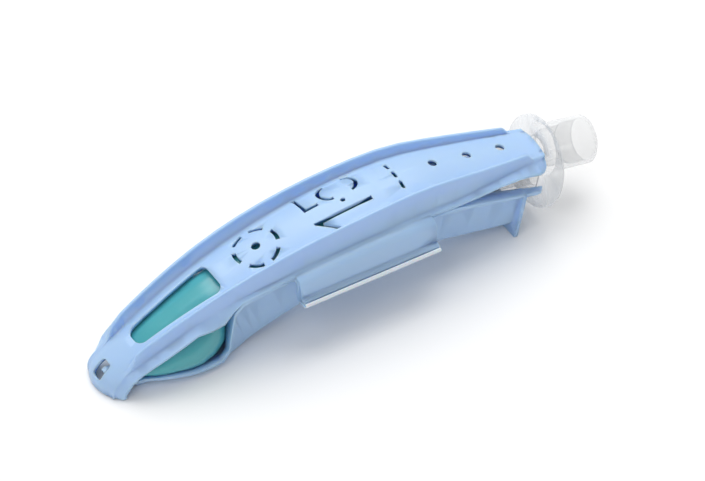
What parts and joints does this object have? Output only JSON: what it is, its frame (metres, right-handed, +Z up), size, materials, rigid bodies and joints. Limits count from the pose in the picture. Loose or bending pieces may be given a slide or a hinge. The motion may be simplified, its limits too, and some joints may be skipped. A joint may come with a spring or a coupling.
{
  "type": "supraglottic airway in hinged cradle",
  "caption": "Soft cuffed supraglottic airway with a clear 15 mm connector, lying in a light blue moulded cradle whose arched lid opens on a living hinge.",
  "frame": {"origin": "on the table under the middle of the bounding box, cradle shut", "axes": "+X along the object towards the connector, +Y away from the hinge side, +Z up; the cuff end points to -X"},
  "size_m": [0.1726, 0.0335, 0.0362],
  "materials": {
    "cradle": "satin moulded polypropylene, light blue",
    "hinge_film": "thin stretched film, whitened by the fold",
    "airway_gel": "soft satin thermoplastic elastomer, teal",
    "clear_connector": "clear polished polymer"
  },
  "bodies": {
    "tray_body": {"tray": "cradle", "living_hinge": "hinge_film", "airway": "airway_gel", "connector": "clear_connector"},
    "lid_body": {"lid": "cradle"}
  },
  "joints": [
    {"name": "lid_hinge", "type": "hinge", "parent": "tray_body", "child": "lid_body", "pos_m": [-0.00167, -0.01645, 0.01745], "axis": [1, 0, 0], "range_deg": [0, 160]}
  ]
}
